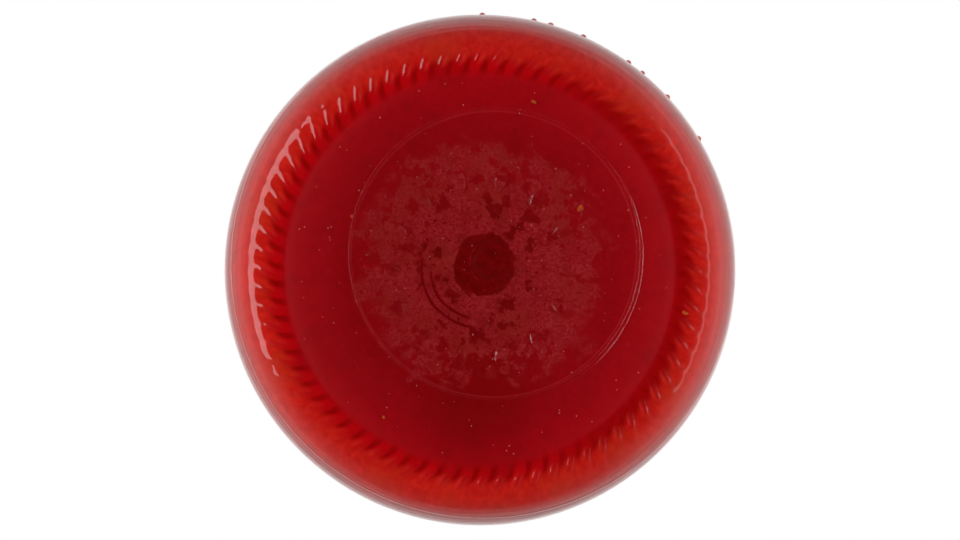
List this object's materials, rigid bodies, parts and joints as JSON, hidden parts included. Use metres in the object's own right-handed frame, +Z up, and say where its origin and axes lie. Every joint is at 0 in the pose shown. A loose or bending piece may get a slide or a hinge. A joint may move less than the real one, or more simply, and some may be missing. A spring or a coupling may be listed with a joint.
{
  "type": "passata bottle",
  "caption": "Clear glass bottle of tomato passata with a knurled base, long shoulders and a metal lug cap.",
  "frame": {"origin": "centre of the base, on the plane that the bottle stands on", "axes": "+Z up along the bottle's axis, from the base to the cap; the mould dots on the heel lie between +X and -Y"},
  "size_m": [0.084, 0.0843, 0.1987],
  "materials": {
    "glass": "clear moulded soda-lime glass, smooth and glossy",
    "passata": "wet sieved tomato, seen through the glass",
    "cap": "tinplate with a plain gold lacquer, satin"
  },
  "bodies": {
    "root": {"glass_bottle": "glass", "passata": "passata", "lug_cap": "cap"}
  },
  "joints": []
}
